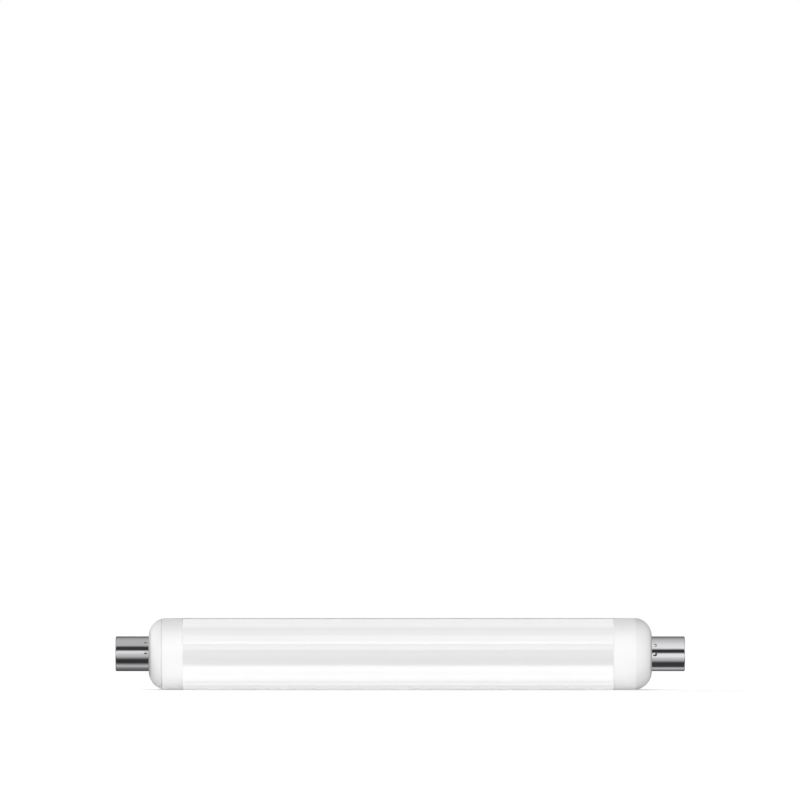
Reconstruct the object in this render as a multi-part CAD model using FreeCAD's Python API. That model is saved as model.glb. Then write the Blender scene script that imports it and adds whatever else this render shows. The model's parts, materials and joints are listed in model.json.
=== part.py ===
import FreeCAD, Part
import math
import os

from FreeCAD import Vector

# A double-ended tubular LED lamp with a smooth 19 mm metal cap at each end.
# The lamp's axis is X, Z is up, the front is -Y, and the origin is the middle of the axis.
# All sizes are in millimetres.
# The tube, the collar and the two domes are closed for good and can't be seen into.
# Behind the seats where they plug into each other they are solid.

# The lamp as a whole
overall_length = 310.0  # rim of one metal cap to rim of the other
tube_diameter = 39.0  # the opal tube, the collar and the crown of both domes
tube_wall = 1.2

# The drawn metal cap
cap_diameter = 19.0
cap_length = 18.0  # from its rim to the nose of the dome behind it
cap_wall = 0.4
cap_rim_radius = 0.6  # outside, where the wall turns in to the rim
cap_mouth_diameter = 13.2  # the round opening that the rim leaves

# The punch marks that lock the cap on the neck, in pairs round the cap
crimp_pairs = 2
crimp_spread = 30.0  # degrees between the two marks of a pair
crimp_diameter = 2.4
crimp_depth = 0.25
crimp_setback = 1.6  # from the cap's base edge to the middle of the marks
left_crimp_turn = 6.0  # degrees that the lower mark of the front pair stands above the front line
right_crimp_turn = -1.0

# The moulded white ends
dome_length = 8.8  # along the axis, from its nose to the crease where its crown meets the straight band
dome_arc = 9.75  # radius of its round profile, which stands square to the axis at the nose
neck_wall = 1.6
cover_length = 7.2  # the left dome cover, from its nose to its seam
cover_spigot_length = 4.0  # how far the dome cover reaches into the collar
collar_length = 11.4  # the collar, from that seam to the tube
collar_wall = 1.6
band_length = 12.1  # the straight band of the right end cap, from its dome to the tube
tube_spigot_length = 8.0  # how far the collar and the end cap reach into the tube
cover_edge_break = 0.35  # chamfer on both sides of the seam between dome cover and collar
tube_edge_break = 0.2  # chamfer on both sides of the tube's seams
spigot_lead_in = 0.6  # chamfer on the spigots' ends

# The insulating disc and the contact in the cap's mouth
insulator_thickness = 3.0
insulator_boss_length = 2.0  # the part that plugs the neck
recess_diameter = 10.8
recess_depth = 1.0
contact_diameter = 5.6
contact_height = 0.9
contact_edge = 0.3  # chamfer round the contact's face
pin_diameter = 2.0
pin_length = 6.0
pin_tip = 0.4  # chamfer on the pin's inner end

# Fits
glue_gap = 0.1  # radial, where mouldings are glued into each other
cap_gap = 0.05  # radial, round the neck, the insulator and the contact's pin
end_gap = 0.4  # axial, past the end of a spigot, the boss or the pin

# Radii that follow from the sizes above
tube_radius = tube_diameter / 2
tube_bore = tube_radius - tube_wall
tube_spigot_radius = tube_bore - glue_gap
collar_bore = tube_radius - collar_wall
cover_spigot_radius = collar_bore - glue_gap
cap_radius = cap_diameter / 2
cap_bore = cap_radius - cap_wall
neck_radius = cap_bore - cap_gap
neck_bore = neck_radius - neck_wall
boss_radius = neck_bore - glue_gap
pin_radius = pin_diameter / 2
pin_hole_radius = pin_radius + cap_gap
rim_chamfer = cap_rim_radius - cap_wall

# Stations along the axis, counted inwards from a cap's rim
neck_end = cap_wall + insulator_thickness
recess_floor = cap_wall + recess_depth
boss_end = neck_end + insulator_boss_length
pin_end = recess_floor + pin_length
dome_nose = cap_length
dome_crown = dome_nose + dome_length
dome_centre = dome_nose + dome_arc
cover_seam = dome_nose + cover_length
left_tube_seam = cover_seam + collar_length
right_tube_seam = dome_crown + band_length


def point(station, radius):
    """A point of a profile, which lies in the XZ plane."""
    return Vector(station, 0, radius)


def line(*corners):
    """Straight edges from corner to corner, each given as (station, radius)."""
    points = [point(*corner) for corner in corners]
    return [Part.LineSegment(a, b).toShape() for a, b in zip(points, points[1:])]


def arc(centre, start, end):
    """A round edge about a centre, between two points at the same distance from it."""
    half_way = point((start[0] + end[0]) / 2, (start[1] + end[1]) / 2)
    outwards = (half_way - point(*centre)).normalize()
    middle = point(*centre) + outwards * point(*centre).distanceToPoint(point(*start))
    return [Part.Arc(point(*start), middle, point(*end)).toShape()]


def lathe(edges):
    """The solid that a closed profile makes when it is turned about the lamp's axis."""
    profile = Part.Face(Part.Wire(Part.__sortEdges__(edges)))
    return profile.revolve(Vector(0, 0, 0), Vector(1, 0, 0), 360)


def cylinder(radius, start, end):
    """A cylinder on the lamp's axis."""
    return Part.makeCylinder(radius, end - start, Vector(start, 0, 0), Vector(1, 0, 0))


# The dome's arc: the radius of its centre, the point where it leaves the cap or the flat nose round
# it, and the seat of the cap's base edge at the same station
dome_centre_radius = tube_radius - math.sqrt(dome_arc ** 2 - (dome_centre - dome_crown) ** 2)
dome_start_radius = max(dome_centre_radius, cap_radius)
cap_seat = dome_centre - math.sqrt(dome_arc ** 2 - (dome_start_radius - dome_centre_radius) ** 2)
dome_start = (cap_seat, dome_start_radius)
crimp_station = cap_seat - crimp_setback


def dome_edge(end):
    """The dome's round profile, from its start to a point on it."""
    return arc((dome_centre, dome_centre_radius), dome_start, end)


def crimp_turns(lower_turn):
    """Where the marks stand about the axis, in degrees above the front line."""
    pairs = [lower_turn + i * 360 / crimp_pairs for i in range(crimp_pairs)]
    return pairs + [turn + crimp_spread for turn in pairs]


def crimp_balls(turns, skin):
    """The round-nosed punches that stand round the cap at their turns, each made larger by skin."""
    mark = crimp_diameter / 2
    punch = (mark ** 2 + crimp_depth ** 2) / (2 * crimp_depth)
    reach = cap_radius - crimp_depth + punch
    balls = []
    for turn in turns:
        angle = math.radians(turn)
        centre = Vector(crimp_station, -reach * math.cos(angle), reach * math.sin(angle))
        balls.append(Part.makeSphere(punch + skin, centre, Vector(1, 0, 0)))
    return Part.makeCompound(balls)


def cap_shell(turns):
    """The drawn metal cap: a thin sleeve whose end turns in to a rim, with its punch marks."""
    mouth = cap_mouth_diameter / 2
    bend_centre = (cap_rim_radius, cap_radius - cap_rim_radius)
    edges = arc(bend_centre, (0, bend_centre[1]), (cap_rim_radius, cap_radius))
    edges += line(
        (cap_rim_radius, cap_radius),
        (cap_seat, cap_radius),
        (cap_seat, cap_bore),
        (cap_wall + rim_chamfer, cap_bore),
        (cap_wall, cap_bore - rim_chamfer),
        (cap_wall, mouth),
        (0, mouth),
        (0, bend_centre[1]),
    )
    bulges = crimp_balls(turns, cap_wall).common(cylinder(cap_radius - cap_wall / 2, 0, cap_seat))
    return lathe(edges).fuse(bulges).cut(crimp_balls(turns, 0)).removeSplitter()


def insulator():
    """The disc that holds the contact. The rim clamps it on the end of the neck."""
    corner = rim_chamfer + cap_gap
    return lathe(line(
        (recess_floor, pin_hole_radius),
        (recess_floor, recess_diameter / 2),
        (cap_wall, recess_diameter / 2),
        (cap_wall, neck_radius - corner),
        (cap_wall + corner, neck_radius),
        (neck_end, neck_radius),
        (neck_end, boss_radius),
        (boss_end, boss_radius),
        (boss_end, pin_hole_radius),
        (recess_floor, pin_hole_radius),
    ))


def contact():
    """The contact: a flat round head on a pin that is pressed through the insulator."""
    face = recess_floor - contact_height
    head_radius = contact_diameter / 2
    return lathe(line(
        (face, 0),
        (face, head_radius - contact_edge),
        (face + contact_edge, head_radius),
        (recess_floor, head_radius),
        (recess_floor, pin_radius),
        (pin_end - pin_tip, pin_radius),
        (pin_end, pin_radius - pin_tip),
        (pin_end, 0),
        (face, 0),
    ))


def neck_edges():
    """The neck inside the metal cap, from the hole for the contact's pin to the foot of the dome."""
    socket_end = boss_end + end_gap
    hole_end = pin_end + end_gap
    return line(
        (hole_end, 0),
        (hole_end, pin_hole_radius),
        (socket_end, pin_hole_radius),
        (socket_end, neck_bore),
        (neck_end, neck_bore),
        (neck_end, neck_radius),
        (cap_seat, neck_radius),
        dome_start,
    )


def spigot_corners(seam, radius, length):
    """The corners of a spigot, from the seam in front of it to its end on the axis."""
    end = seam + length
    return (seam, radius), (end - spigot_lead_in, radius), (end, radius - spigot_lead_in), (end, 0)


def with_crimp_pockets(moulding, turns):
    """The moulding with the pockets that the punches press into its neck."""
    pockets = crimp_balls(turns, cap_wall + cap_gap).common(cylinder(cap_bore, 0, cap_seat))
    return moulding.cut(pockets)


def dome_cover(turns):
    """The left dome, a cover of its own with the neck in front and a spigot behind."""
    lip_station = cover_seam - cover_edge_break
    lip = (lip_station, dome_centre_radius + math.sqrt(dome_arc ** 2 - (dome_centre - lip_station) ** 2))
    edges = neck_edges() + dome_edge(lip)
    edges += line(
        lip,
        (cover_seam, lip[1] - cover_edge_break),
        *spigot_corners(cover_seam, cover_spigot_radius, cover_spigot_length),
        (pin_end + end_gap, 0),
    )
    return with_crimp_pockets(lathe(edges), turns)


def collar():
    """The left collar: it takes the dome cover's spigot in front and plugs the tube behind."""
    socket_end = cover_seam + cover_spigot_length + end_gap
    return lathe(line(
        (socket_end, 0),
        (socket_end, collar_bore),
        (cover_seam, collar_bore),
        (cover_seam, tube_radius - cover_edge_break),
        (cover_seam + cover_edge_break, tube_radius),
        (left_tube_seam - tube_edge_break, tube_radius),
        (left_tube_seam, tube_radius - tube_edge_break),
        *spigot_corners(left_tube_seam, tube_spigot_radius, tube_spigot_length),
        (socket_end, 0),
    ))


def end_cap(turns):
    """The right end: neck, dome, straight band and spigot moulded in one piece."""
    crown = (dome_crown, tube_radius)
    edges = neck_edges() + dome_edge(crown)
    edges += line(
        crown,
        (right_tube_seam - tube_edge_break, tube_radius),
        (right_tube_seam, tube_radius - tube_edge_break),
        *spigot_corners(right_tube_seam, tube_spigot_radius, tube_spigot_length),
        (pin_end + end_gap, 0),
    )
    return with_crimp_pockets(lathe(edges), turns)


def opal_tube():
    """The opal tube between the two ends, open for their spigots and solid between them."""
    start = left_tube_seam
    end = overall_length - right_tube_seam
    socket_depth = tube_spigot_length + end_gap
    return lathe(line(
        (start + socket_depth, 0),
        (start + socket_depth, tube_bore),
        (start, tube_bore),
        (start, tube_radius - tube_edge_break),
        (start + tube_edge_break, tube_radius),
        (end - tube_edge_break, tube_radius),
        (end, tube_radius - tube_edge_break),
        (end, tube_bore),
        (end - socket_depth, tube_bore),
        (end - socket_depth, 0),
        (start + socket_depth, 0),
    ))


def at_left(shape):
    """A piece that was made from a cap's rim inwards, placed at the lamp's left end."""
    return shape.translate(Vector(-overall_length / 2, 0, 0))


def at_right(shape):
    """The same at the right end, turned end for end about Y. Its front stays the front, upside down."""
    return at_left(shape).rotate(Vector(0, 0, 0), Vector(0, 1, 0), 180)


def cap_pieces(turns):
    """The three pieces that make one cap."""
    return {"cap_shell": cap_shell(turns), "insulator": insulator(), "contact": contact()}


def main():
    left_turns = crimp_turns(left_crimp_turn)
    right_turns = [-turn for turn in crimp_turns(right_crimp_turn)]
    pieces = {
        "opal_tube": at_left(opal_tube()),
        "left_collar": at_left(collar()),
        "left_dome_cover": at_left(dome_cover(left_turns)),
        "right_end_cap": at_right(end_cap(right_turns)),
    }
    for name, shape in cap_pieces(left_turns).items():
        pieces["left_" + name] = at_left(shape)
    for name, shape in cap_pieces(right_turns).items():
        pieces["right_" + name] = at_right(shape)
    os.makedirs("parts", exist_ok=True)
    for name, shape in pieces.items():
        print(name, "solids", len(shape.Solids), "valid", shape.isValid(), "volume", round(shape.Volume, 2))
        shape.exportStep("parts/" + name + ".step")


main()
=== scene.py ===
import json
import math

import bpy
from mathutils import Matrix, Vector


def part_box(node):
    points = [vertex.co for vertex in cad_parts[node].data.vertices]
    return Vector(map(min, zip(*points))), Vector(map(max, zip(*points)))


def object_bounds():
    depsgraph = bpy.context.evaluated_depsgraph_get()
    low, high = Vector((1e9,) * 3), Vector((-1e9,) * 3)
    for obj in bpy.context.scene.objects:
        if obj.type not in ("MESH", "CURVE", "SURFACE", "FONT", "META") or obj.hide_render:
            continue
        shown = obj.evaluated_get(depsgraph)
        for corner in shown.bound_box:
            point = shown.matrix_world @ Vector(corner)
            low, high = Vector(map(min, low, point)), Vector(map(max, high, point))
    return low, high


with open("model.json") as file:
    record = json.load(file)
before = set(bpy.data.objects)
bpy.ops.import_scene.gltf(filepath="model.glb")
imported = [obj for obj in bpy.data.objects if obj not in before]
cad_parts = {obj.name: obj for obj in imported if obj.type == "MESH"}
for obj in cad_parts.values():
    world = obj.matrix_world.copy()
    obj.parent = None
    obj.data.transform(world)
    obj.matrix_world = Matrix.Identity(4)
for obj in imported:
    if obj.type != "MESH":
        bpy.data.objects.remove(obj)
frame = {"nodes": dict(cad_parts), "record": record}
cad_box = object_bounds()

# The lamp in the photograph's frame, in pixels
image_size = 800  # both ways
lamp_left_px = 115.75
lamp_right_px = 684.72
lamp_axis_px = 653.75

# The camera
camera_distance = 7.0
sensor_width = 36.0  # millimetres, as is the lens

# Light
ambient = 0.36  # the world's brightness on matt surfaces
light_spread = 35  # degrees that each soft light is wide, seen from the lamp
# Each soft light as (the direction that it comes from, what it adds to a white surface that faces it)
soft_lights = {
    "front_light": ((0, -1, 0), 0.708),
    "back_light": ((0, 1, 0), 0.26),
    "left_light": ((-0.85, 0.48, 0.22), 0.58),
    "right_light": ((1, 0.35, 0), 0.29),
}

# The floor
floor_size = 60.0
floor_bounce = 0.58  # the share of the light that it throws back at the lamp
floor_paint = 0.75  # the share that it throws back at the camera
floor_glow = 0.625  # added for the camera, so that the floor is just white outside the lamp's shadow
contact_reach = 0.011  # the glow fades where the lamp is nearer than this
contact_samples = 16

# The cards that the glossy surfaces mirror stand in three rings about the lamp's axis, one round the
# tube and one past each end of it. Between two rings stand two screens a hair apart, so that the tube
# and the bands beside it mirror tube cards alone, and a dome or a metal cap mirrors no tube cards.
ring_radius = 0.15
ring_reach = 0.75  # how far the outer rings go on past the lamp's middle
ring_steps = 96  # flat sides of a ring
crease_setback = 0.0268  # from the rim of the right cap to the crease under the right dome
left_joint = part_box("left_collar")[0].x  # where the tube's ring meets the left cap's ring
right_joint = cad_box[1].x - crease_setback  # where it meets the right cap's ring
screen_hole = 0.021  # radius of the hole in a screen, through which the lamp passes
screen_gap = 0.0002

# Each ring's cards as (first angle, last angle, brightness). Between two cards the brightness changes
# evenly, and past the first and the last one it stays. Angle 0 is the camera's side, 90 is above the
# lamp, and a card whose two angles are the same is only a point that the brightness passes through.
left_cap_cards = (
    (-180, -150, 0.07), (-130, -128, 0.13), (-116, -107, 0.21), (-91, -81, 0.54), (-60, -37, 0.04),
    (-30, -28, 0.2), (-18, -15, 0.55), (-4, 0, 0.71), (6, 16, 0.93), (26, 44, 0.045), (56, 100, 0.565),
    (122, 124, 0.4), (145, 180, 0.12),
)
tube_cards = (
    (-166, -166, 1.9), (-155, -155, 0.3), (-144, -144, 1.3), (-118, -118, 0.8), (-111, -108, 2.25),
    (-96, -96, 1.1), (-87, -83, 3.7), (-74, -58, 4.45), (-48, -41, 5.4), (-30, -14, 0.2),
    (-5, 3, 0.85), (9, 9, 0.1), (17, 17, 3.5), (30.5, 30.5, 1.6), (32.5, 35, 5.3), (41, 41, 3.0),
    (57.5, 57.5, 2.8), (60.5, 73, 0.95), (85, 85, 0.1), (98, 103, 1.85), (112, 136, 1.45),
    (160, 160, 0.1),
)
right_cap_cards = (
    (-180, -150, 0.1), (-130, -128, 0.26), (-118, -105, 0.57), (-91, -58, 0.05), (-38, -33, 0.6),
    (-25, -24, 0.79), (-18, -1, 1.0), (9.5, 25.5, 0.04), (37, 50, 0.985), (62, 67, 0.9), (84, 90, 0.72),
    (110, 112, 0.53), (123, 124, 0.36), (138, 180, 0.21),
)
right_screen_cards = ((-180, 25, 0.06), (45, 180, 0.5))

# Painted shade on the white plastic, in its seams and over the right dome. A seam's painted shade is (how
# far it reaches to both sides, its share in the middle), thins out evenly, and covers the plastic fully
# where the share is 1 or more.
seam_painted_shade = (0.0005, 0.45)  # painted shade in the seam between the left dome and its collar
foot_painted_shadow = (0.0016, 1.2)  # painted shadow beside the metal caps, where the domes meet them
dome_painted_shade = 0.15  # painted shade all over the right dome, which makes it a little duller than its band
# The grey of the painted shade
painted_shade_colour = (0.62, 0.62, 0.62)

patch_span = (0.3, 0.7)  # a noise texture's values lie mostly between these


def set_camera():
    """A level camera far in front of the lamp, which puts it low in the photograph's frame."""
    lamp_left, lamp_right = cad_box[0].x, cad_box[1].x
    pixel = (lamp_right - lamp_left) / (lamp_right_px - lamp_left_px)
    middle_px = (lamp_left_px + lamp_right_px) / 2
    camera = bpy.data.objects.new("camera", bpy.data.cameras.new("camera"))
    camera.data.sensor_width = sensor_width
    camera.data.lens = sensor_width * camera_distance / (image_size * pixel)
    camera.data.clip_end = camera_distance + floor_size
    camera.location = (
        (lamp_left + lamp_right) / 2 - (middle_px - image_size / 2) * pixel,
        -camera_distance,
        (lamp_axis_px - image_size / 2) * pixel,
    )
    camera.rotation_euler = (math.radians(90), 0, 0)
    bpy.context.collection.objects.link(camera)
    bpy.context.scene.camera = camera


def calculate(tree, operation, *values):
    """The output of a maths node whose inputs are values or other nodes' outputs."""
    node = tree.nodes.new("ShaderNodeMath")
    node.operation = operation
    for socket, value in zip(node.inputs, values):
        if isinstance(value, bpy.types.NodeSocket):
            tree.links.new(value, socket)
        else:
            socket.default_value = value
    return node.outputs[0]


def coordinates(tree):
    """The X, Y and Z of each place on an object, by these names."""
    place = tree.nodes.new("ShaderNodeTexCoord")
    parts = tree.nodes.new("ShaderNodeSeparateXYZ")
    tree.links.new(place.outputs["Object"], parts.inputs[0])
    return parts.outputs


def white_background(tree, strength):
    """The output of a white background of some strength."""
    background = tree.nodes.new("ShaderNodeBackground")
    background.inputs["Color"].default_value = (1, 1, 1, 1)
    background.inputs["Strength"].default_value = strength
    return background.outputs[0]


def set_world():
    """A white surround for the camera and for what is mirrored, and a plain ambient light."""
    world = bpy.data.worlds.new("studio")
    bpy.context.scene.world = world
    world.use_nodes = True
    tree = world.node_tree
    tree.nodes.clear()
    path = tree.nodes.new("ShaderNodeLightPath")
    seen = calculate(tree, "MAXIMUM", path.outputs["Is Camera Ray"], path.outputs["Is Glossy Ray"])
    seen = calculate(tree, "MAXIMUM", seen, path.outputs["Is Transmission Ray"])
    mix = tree.nodes.new("ShaderNodeMixShader")
    tree.links.new(seen, mix.inputs["Fac"])
    tree.links.new(white_background(tree, ambient), mix.inputs[1])
    tree.links.new(white_background(tree, 1), mix.inputs[2])
    output = tree.nodes.new("ShaderNodeOutputWorld")
    tree.links.new(mix.outputs[0], output.inputs["Surface"])


def soft_light(name, direction, brightness):
    """A wide soft light from a direction, equally bright all over the floor."""
    data = bpy.data.lights.new(name, "SUN")
    data.angle = math.radians(light_spread)
    data.energy = brightness * math.pi
    light = bpy.data.objects.new(name, data)
    light.rotation_euler = Vector(direction).to_track_quat("Z", "Y").to_euler()
    light.visible_camera = False
    light.visible_glossy = False
    bpy.context.collection.objects.link(light)


def new_material(name):
    """An empty node material, its node tree and its output node."""
    material = bpy.data.materials.new(name)
    material.use_nodes = True
    material.node_tree.nodes.clear()
    output = material.node_tree.nodes.new("ShaderNodeOutputMaterial")
    return material, material.node_tree, output


def floor():
    """A white floor under the lamp. For the camera it has another paint than for the lamp, and glows
    where the lamp isn't close above it."""
    half = floor_size / 2
    height = cad_box[0].z
    mesh = bpy.data.meshes.new("floor")
    corners = [(x * half, y * half, height) for x, y in ((-1, -1), (1, -1), (1, 1), (-1, 1))]
    mesh.from_pydata(corners, [], [(0, 1, 2, 3)])
    plane = bpy.data.objects.new("floor", mesh)
    bpy.context.collection.objects.link(plane)
    plane.visible_glossy = False
    plane.visible_shadow = False
    material, tree, output = new_material("floor")
    seen = tree.nodes.new("ShaderNodeLightPath").outputs["Is Camera Ray"]
    openness = tree.nodes.new("ShaderNodeAmbientOcclusion")
    openness.samples = contact_samples
    openness.inputs["Distance"].default_value = contact_reach
    open_and_seen = calculate(tree, "MULTIPLY", seen, openness.outputs["AO"])
    glow = tree.nodes.new("ShaderNodeEmission")
    tree.links.new(calculate(tree, "MULTIPLY", open_and_seen, floor_glow), glow.inputs["Strength"])
    paint = tree.nodes.new("ShaderNodeBsdfDiffuse")
    shade = calculate(tree, "MULTIPLY_ADD", seen, floor_paint - floor_bounce, floor_bounce)
    tree.links.new(shade, paint.inputs["Color"])
    both = tree.nodes.new("ShaderNodeAddShader")
    tree.links.new(glow.outputs[0], both.inputs[0])
    tree.links.new(paint.outputs[0], both.inputs[1])
    tree.links.new(both.outputs[0], output.inputs["Surface"])
    mesh.materials.append(material)


def card_material(name, cards):
    """Light that changes with the angle about the lamp's axis, from card to card."""
    material, tree, output = new_material(name)
    place = coordinates(tree)
    towards_camera = calculate(tree, "MULTIPLY", place["Y"], -1)
    angle = calculate(tree, "ARCTAN2", place["Z"], towards_camera)
    turn = tree.nodes.new("ShaderNodeMapRange")
    turn.inputs["From Min"].default_value = -math.pi
    turn.inputs["From Max"].default_value = math.pi
    tree.links.new(angle, turn.inputs["Value"])
    ramp = tree.nodes.new("ShaderNodeValToRGB")
    tree.links.new(turn.outputs["Result"], ramp.inputs["Fac"])
    brightest = max(brightness for _, _, brightness in cards)
    edges = []
    for first, last, brightness in cards:
        edges += [(degrees, brightness / brightest) for degrees in sorted({first, last})]
    stops = ramp.color_ramp.elements
    while len(stops) < len(edges):
        stops.new(1)
    for stop, (degrees, share) in zip(stops, edges):
        stop.position = (degrees + 180) / 360
        stop.color = (share, share, share, 1)
    glow = tree.nodes.new("ShaderNodeEmission")
    glow.inputs["Strength"].default_value = brightest
    tree.links.new(ramp.outputs["Color"], glow.inputs["Color"])
    tree.links.new(glow.outputs[0], output.inputs["Surface"])
    return material


def card_ring(name, circles, cards):
    """A ring of cards, seen only by glossy surfaces. It runs from circle to circle about the lamp's
    axis, and each circle is given by its place on the axis and its radius."""
    vertices = []
    faces = []
    for x, radius in circles:
        for i in range(ring_steps):
            angle = 2 * math.pi * i / ring_steps
            vertices.append((x, radius * math.cos(angle), radius * math.sin(angle)))
    for first in range(0, len(vertices) - ring_steps, ring_steps):
        for i in range(ring_steps):
            a, b = first + i, first + (i + 1) % ring_steps
            faces.append((a, b, b + ring_steps, a + ring_steps))
    mesh = bpy.data.meshes.new(name)
    mesh.from_pydata(vertices, [], faces)
    mesh.materials.append(card_material(name, cards))
    ring = bpy.data.objects.new(name, mesh)
    bpy.context.collection.objects.link(ring)
    ring.visible_camera = False
    ring.visible_diffuse = False
    ring.visible_transmission = False
    ring.visible_volume_scatter = False
    ring.visible_shadow = False


def principled(name, colour, roughness):
    """A material with one principled shader, and that shader. Where a pattern drives the colour or the
    roughness, the value given here is about its middle, for a viewer that can't run patterns."""
    material, tree, output = new_material(name)
    shader = tree.nodes.new("ShaderNodeBsdfPrincipled")
    shader.inputs["Base Color"].default_value = (*colour, 1)
    shader.inputs["Roughness"].default_value = roughness
    tree.links.new(shader.outputs[0], output.inputs["Surface"])
    return material, tree, shader


def patches(tree, length, width, detail=2.0):
    """Soft random patches from 0 to 1, with a length along the lamp and a width across it."""
    place = tree.nodes.new("ShaderNodeTexCoord")
    scaled = tree.nodes.new("ShaderNodeVectorMath")
    scaled.operation = "MULTIPLY"
    scaled.inputs[1].default_value = (1 / length, 1 / width, 1 / width)
    tree.links.new(place.outputs["Object"], scaled.inputs[0])
    noise = tree.nodes.new("ShaderNodeTexNoise")
    noise.inputs["Scale"].default_value = 1
    noise.inputs["Detail"].default_value = detail
    tree.links.new(scaled.outputs[0], noise.inputs["Vector"])
    return noise.outputs[0]


def turned_rings(tree, pitch):
    """Fine rings about the lamp's axis, as a turning tool or a die leaves them, from 0 to 1."""
    place = coordinates(tree)
    y_squared = calculate(tree, "MULTIPLY", place["Y"], place["Y"])
    z_squared = calculate(tree, "MULTIPLY", place["Z"], place["Z"])
    radius = calculate(tree, "SQRT", calculate(tree, "ADD", y_squared, z_squared))
    wave = calculate(tree, "SINE", calculate(tree, "MULTIPLY", radius, 2 * math.pi / pitch))
    return calculate(tree, "MULTIPLY_ADD", wave, 0.5, 0.5)


def vary(tree, socket, pattern, first, last):
    """Lets a shader's input follow a pattern of patches, from a first to a last value."""
    span = tree.nodes.new("ShaderNodeMapRange")
    span.inputs["From Min"].default_value = patch_span[0]
    span.inputs["From Max"].default_value = patch_span[1]
    span.inputs["To Min"].default_value = first
    span.inputs["To Max"].default_value = last
    tree.links.new(pattern, span.inputs["Value"])
    tree.links.new(span.outputs["Result"], socket)


def tint(tree, socket, pattern, first, last):
    """Lets a shader's colour follow a pattern of patches, from a first to a last colour."""
    ramp = tree.nodes.new("ShaderNodeValToRGB")
    for stop, position, colour in zip(ramp.color_ramp.elements, patch_span, (first, last)):
        stop.position = position
        stop.color = (*colour, 1)
    tree.links.new(pattern, ramp.inputs["Fac"])
    tree.links.new(ramp.outputs["Color"], socket)


def relief(tree, shader, *layers):
    """Raises a shader's surface by layers of (pattern, height)."""
    normal = None
    for pattern, height in layers:
        bump = tree.nodes.new("ShaderNodeBump")
        bump.inputs["Strength"].default_value = 1
        bump.inputs["Distance"].default_value = height
        tree.links.new(pattern, bump.inputs["Height"])
        if normal:
            tree.links.new(normal, bump.inputs["Normal"])
        normal = bump.outputs["Normal"]
    tree.links.new(normal, shader.inputs["Normal"])


def opal_material():
    """Glossy opal plastic. Light spreads inside it, so it looks flatter than paint does."""
    material, tree, shader = principled("opal", (0.82, 0.817, 0.824), 0.07)
    shader.inputs["Diffuse Roughness"].default_value = 1
    extrusion_lines = patches(tree, length=0.08, width=0.0011)
    cloudiness = patches(tree, length=0.025, width=0.012)
    handling = patches(tree, length=0.03, width=0.004)
    tint(tree, shader.inputs["Base Color"], cloudiness, (0.815, 0.812, 0.819), (0.825, 0.822, 0.829))
    vary(tree, shader.inputs["Roughness"], handling, 0.06, 0.085)
    relief(tree, shader, (extrusion_lines, 0.0000012), (cloudiness, 0.000008))
    return material


def painted_shade_pattern(tree):
    """The share of painted shade at each place of the white plastic."""
    x = coordinates(tree)["X"]
    # Painted shade over the whole right dome
    on_right_dome = calculate(tree, "GREATER_THAN", x, right_joint)
    shade_share = calculate(tree, "MULTIPLY", on_right_dome, dome_painted_shade)
    # Painted shade in the left seam, and painted shadow beside each metal cap
    seams = (
        (left_joint, *seam_painted_shade),
        (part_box("left_cap_shell")[1].x, *foot_painted_shadow),
        (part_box("right_cap_shell")[0].x, *foot_painted_shadow),
    )
    for seam, reach, middle_share in seams:
        offset = calculate(tree, "ABSOLUTE", calculate(tree, "SUBTRACT", x, seam))
        share = calculate(tree, "MULTIPLY_ADD", offset, -middle_share / reach, middle_share)
        shade_share = calculate(tree, "MAXIMUM", share, shade_share)
    return shade_share


def white_plastic_material():
    """Satin white moulded plastic, with shade painted into its left seam, beside the metal caps and over the
    right dome.
    """
    material, tree, shader = principled("white_plastic", (0.92, 0.917, 0.924), 0.42)
    shader.inputs["Specular IOR Level"].default_value = 0.18
    mottling = patches(tree, length=0.006, width=0.006)
    grain = patches(tree, length=0.00035, width=0.00035)
    # Mixes the painted shade into the plastic's colour
    shade_painting = tree.nodes.new("ShaderNodeMix")
    shade_painting.data_type = "RGBA"
    sockets = {socket.identifier: socket for socket in (*shade_painting.inputs, *shade_painting.outputs)}
    tint(tree, sockets["A_Color"], mottling, (0.915, 0.912, 0.919), (0.925, 0.922, 0.929))
    sockets["B_Color"].default_value = (*painted_shade_colour, 1)
    tree.links.new(painted_shade_pattern(tree), sockets["Factor_Float"])
    tree.links.new(sockets["Result_Color"], shader.inputs["Base Color"])
    vary(tree, shader.inputs["Roughness"], mottling, 0.38, 0.46)
    relief(tree, shader, (grain, 0.000006))
    return material


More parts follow.
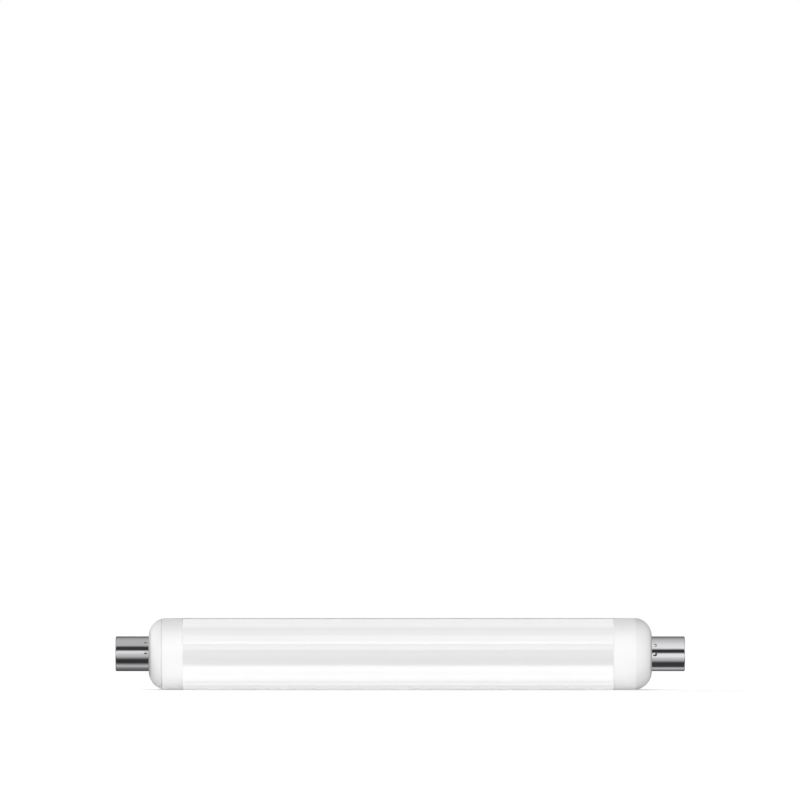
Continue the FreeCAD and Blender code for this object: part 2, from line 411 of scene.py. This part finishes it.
def nickel_material():
    """Bright nickel plating on drawn metal, with the marks of the die and of handling."""
    material, tree, shader = principled("nickel", (0.747, 0.744, 0.768), 0.045)
    shader.inputs["Metallic"].default_value = 1
    waviness = patches(tree, length=0.009, width=0.005, detail=0.0)
    drawn_lines = patches(tree, length=0.012, width=0.00025)
    handling = patches(tree, length=0.004, width=0.0015)
    vary(tree, shader.inputs["Roughness"], handling, 0.035, 0.06)
    relief(tree, shader, (waviness, 0.000025), (drawn_lines, 0.0000006))
    return material


def insulator_material():
    """Smooth black moulded plastic."""
    material, tree, shader = principled("insulator", (0.03, 0.03, 0.03), 0.35)
    mottling = patches(tree, length=0.002, width=0.002)
    grain = patches(tree, length=0.0004, width=0.0004)
    vary(tree, shader.inputs["Roughness"], mottling, 0.3, 0.42)
    relief(tree, shader, (grain, 0.000008))
    return material


def contact_material():
    """Bare pressed brass with turned rings and a first touch of tarnish."""
    material, tree, shader = principled("contact_metal", (0.8, 0.68, 0.42), 0.25)
    shader.inputs["Metallic"].default_value = 1
    tarnish = patches(tree, length=0.0015, width=0.0015, detail=4.0)
    tint(tree, shader.inputs["Base Color"], tarnish, (0.7, 0.57, 0.33), (0.82, 0.7, 0.44))
    vary(tree, shader.inputs["Roughness"], tarnish, 0.32, 0.2)
    relief(tree, shader, (turned_rings(tree, pitch=0.0002), 0.000002))
    return material


def finish_nodes():
    """Gives each piece of the lamp the finish that its material slot names."""
    finishes = {
        "opal": opal_material(),
        "white_plastic": white_plastic_material(),
        "nickel": nickel_material(),
        "insulator": insulator_material(),
        "contact_metal": contact_material(),
    }
    for subpart in frame["record"]["subparts"]:
        piece = frame["nodes"][subpart["node"]]
        for slot in piece.material_slots:
            slot.material = finishes[subpart["material_slot"]]


bpy.context.scene.view_settings.view_transform = "Standard"
set_camera()
set_world()
for name, (direction, brightness) in soft_lights.items():
    soft_light(name, direction, brightness)
floor()
tube_left, tube_right = left_joint + screen_gap, right_joint - screen_gap
card_ring("left_cap_cards", [
    (-ring_reach, ring_radius), (left_joint, ring_radius), (left_joint, screen_hole),
], left_cap_cards)
card_ring("tube_cards", [
    (tube_left, screen_hole), (tube_left, ring_radius), (tube_right, ring_radius), (tube_right, screen_hole),
], tube_cards)
card_ring("right_cap_cards", [(right_joint, ring_radius), (ring_reach, ring_radius)], right_cap_cards)
card_ring("right_screen", [(right_joint, ring_radius), (right_joint, screen_hole)], right_screen_cards)
finish_nodes()
